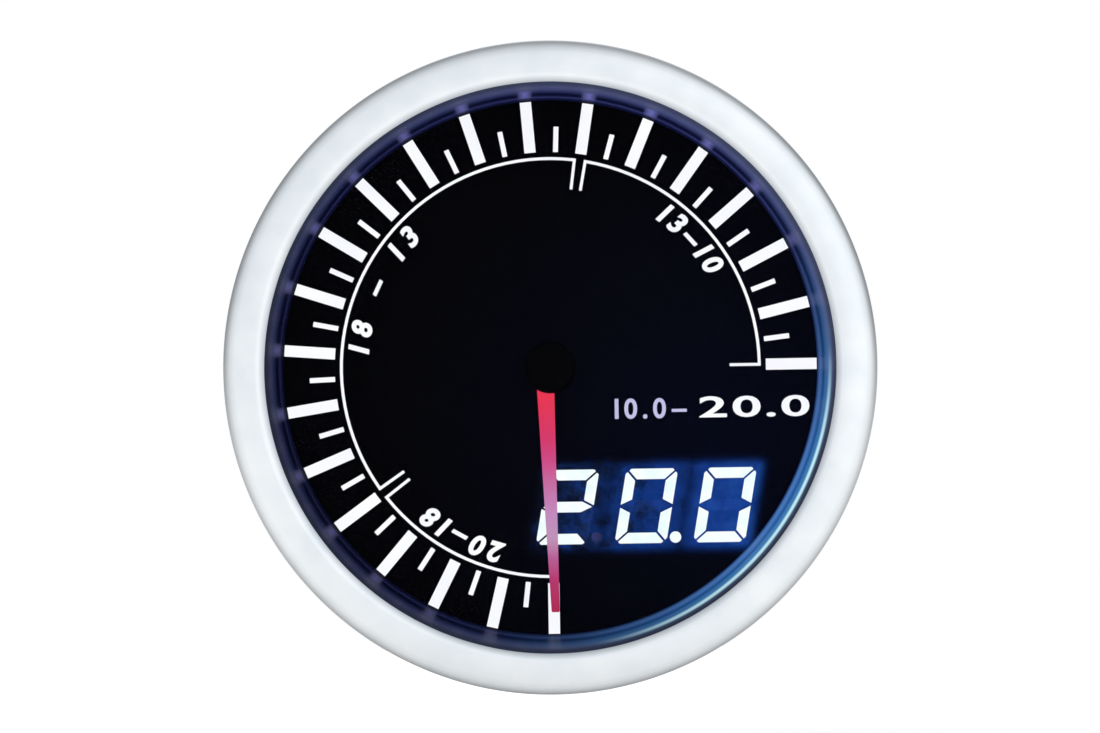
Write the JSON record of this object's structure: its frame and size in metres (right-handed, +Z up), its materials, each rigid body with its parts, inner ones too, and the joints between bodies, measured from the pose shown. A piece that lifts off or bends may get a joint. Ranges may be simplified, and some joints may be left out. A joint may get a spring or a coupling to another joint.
{
  "type": "air fuel ratio gauge",
  "caption": "Round dash gauge with a lit scale, a motor-driven pointer, a digital readout in the dial and a rear clamp bracket for a panel hole.",
  "frame": {"origin": "centre of the panel hole, on the front face of the panel, where the back of the bezel rests", "axes": "+Y into the panel, away from the viewer, along the pointer's axis; +Z up the dial, from the six o'clock end of the scale to twelve o'clock; +X to the right as the dial is read"},
  "size_m": [0.063, 0.048, 0.063],
  "materials": {
    "anodised_aluminium": "bead-blasted satin, near white",
    "clear_acrylic": "clear, polished",
    "black_rubber": "matt",
    "navy_trim": "gloss, dark navy",
    "dial_black": "satin screen print, black with a blue cast",
    "dial_white": "lit white print",
    "window_blue": "smoked blue",
    "pointer_red": "light-carrying red",
    "cap_black": "satin",
    "steel_pin": "ground",
    "light_acrylic": "frosted",
    "white_plastic": "moulded",
    "display_black": "moulded",
    "segment_lit": "lit",
    "segment_unlit": "unlit",
    "tinned_wire": "tinned",
    "circuit_board": "green solder mask",
    "led_white": "moulded",
    "chip_black": "moulded epoxy",
    "capacitor_can": "drawn",
    "socket_ivory": "moulded nylon",
    "gold_plate": "plated",
    "can_black": "moulded, fine texture",
    "motor_case": "moulded",
    "gear_plastic": "moulded acetal",
    "magnet_grey": "sintered",
    "stator_steel": "stamped",
    "bobbin_black": "moulded",
    "copper_wire": "enamelled copper",
    "zinc_steel": "bright zinc plate",
    "nut_brass": "turned and knurled"
  },
  "bodies": {
    "housing": {"bezel_ring": "anodised_aluminium", "lens": "clear_acrylic", "lens_gasket": "black_rubber", "trim_ring": "navy_trim", "dial_plate": "dial_black", "dial_marks": "dial_white", "display_window": "window_blue", "light_guide": "light_acrylic", "light_box": "white_plastic", "display_case": "display_black", "lit_segments": "segment_lit", "unlit_segments": "segment_unlit", "display_pins": "tinned_wire", "main_board": "circuit_board", "backlight_leds": "led_white", "microcontroller": "chip_black", "voltage_regulator": "chip_black", "capacitors": "capacitor_can", "resistors": "chip_black", "power_socket": "socket_ivory", "sensor_socket": "socket_ivory", "power_pins": "gold_plate", "sensor_pins": "gold_plate", "housing_can": "can_black", "case_screws": "zinc_steel", "motor_front_shell": "motor_case", "motor_rear_shell": "motor_case", "intermediate_pin": "steel_pin", "rotor_pin": "steel_pin", "stator_plate": "stator_steel", "coil_bobbins": "bobbin_black", "coil_windings": "copper_wire", "motor_terminals": "tinned_wire", "mounting_studs": "zinc_steel", "stud_nuts": "zinc_steel"},
    "rotor": {"rotor_magnet": "magnet_grey", "rotor_pinion": "gear_plastic"},
    "intermediate": {"intermediate_gear": "gear_plastic"},
    "needle": {"output_gear": "gear_plastic", "pointer_shaft": "steel_pin", "pointer": "pointer_red", "pointer_hub": "cap_black", "pointer_cap": "cap_black"},
    "clamp": {"clamp_bracket": "zinc_steel", "lock_washers": "zinc_steel"},
    "left_nut": {"thumb_nut_left": "nut_brass"},
    "right_nut": {"thumb_nut_right": "nut_brass"}
  },
  "joints": [
    {"name": "rotor_spin", "type": "hinge", "parent": "housing", "child": "rotor", "pos_m": [0.00163, 0, 0.00735], "axis": [0, 1, 0], "range_deg": [0, 48600]},
    {"name": "intermediate_turn", "type": "hinge", "parent": "housing", "child": "intermediate", "pos_m": [-0.00617, 0, 0.00735], "axis": [0, 1, 0], "range_deg": [-4050, 0]},
    {"name": "pointer_turn", "type": "hinge", "parent": "housing", "child": "needle", "pos_m": [0, 0, 0], "axis": [0, 1, 0], "range_deg": [0, 270]},
    {"name": "clamp_slide", "type": "slide", "parent": "housing", "child": "clamp", "axis": [0, 1, 0], "range_m": [-0.0038, 0.04]},
    {"name": "thumb_nut_left_spin", "type": "hinge", "parent": "clamp", "child": "left_nut", "pos_m": [-0.019, 0, 0], "axis": [0, 1, 0], "range_deg": [-1954.3, 20571.5]},
    {"name": "thumb_nut_right_spin", "type": "hinge", "parent": "clamp", "child": "right_nut", "pos_m": [0.019, 0, 0], "axis": [0, 1, 0], "range_deg": [-1954.3, 20571.5]}
  ],
  "couplings": [
    {"joint": "intermediate_turn", "follows": "rotor_spin", "ratio": -0.083333},
    {"joint": "pointer_turn", "follows": "rotor_spin", "ratio": 0.0055556},
    {"joint": "thumb_nut_left_spin", "follows": "clamp_slide", "rad_per_m": 8976},
    {"joint": "thumb_nut_right_spin", "follows": "clamp_slide", "rad_per_m": 8976}
  ]
}
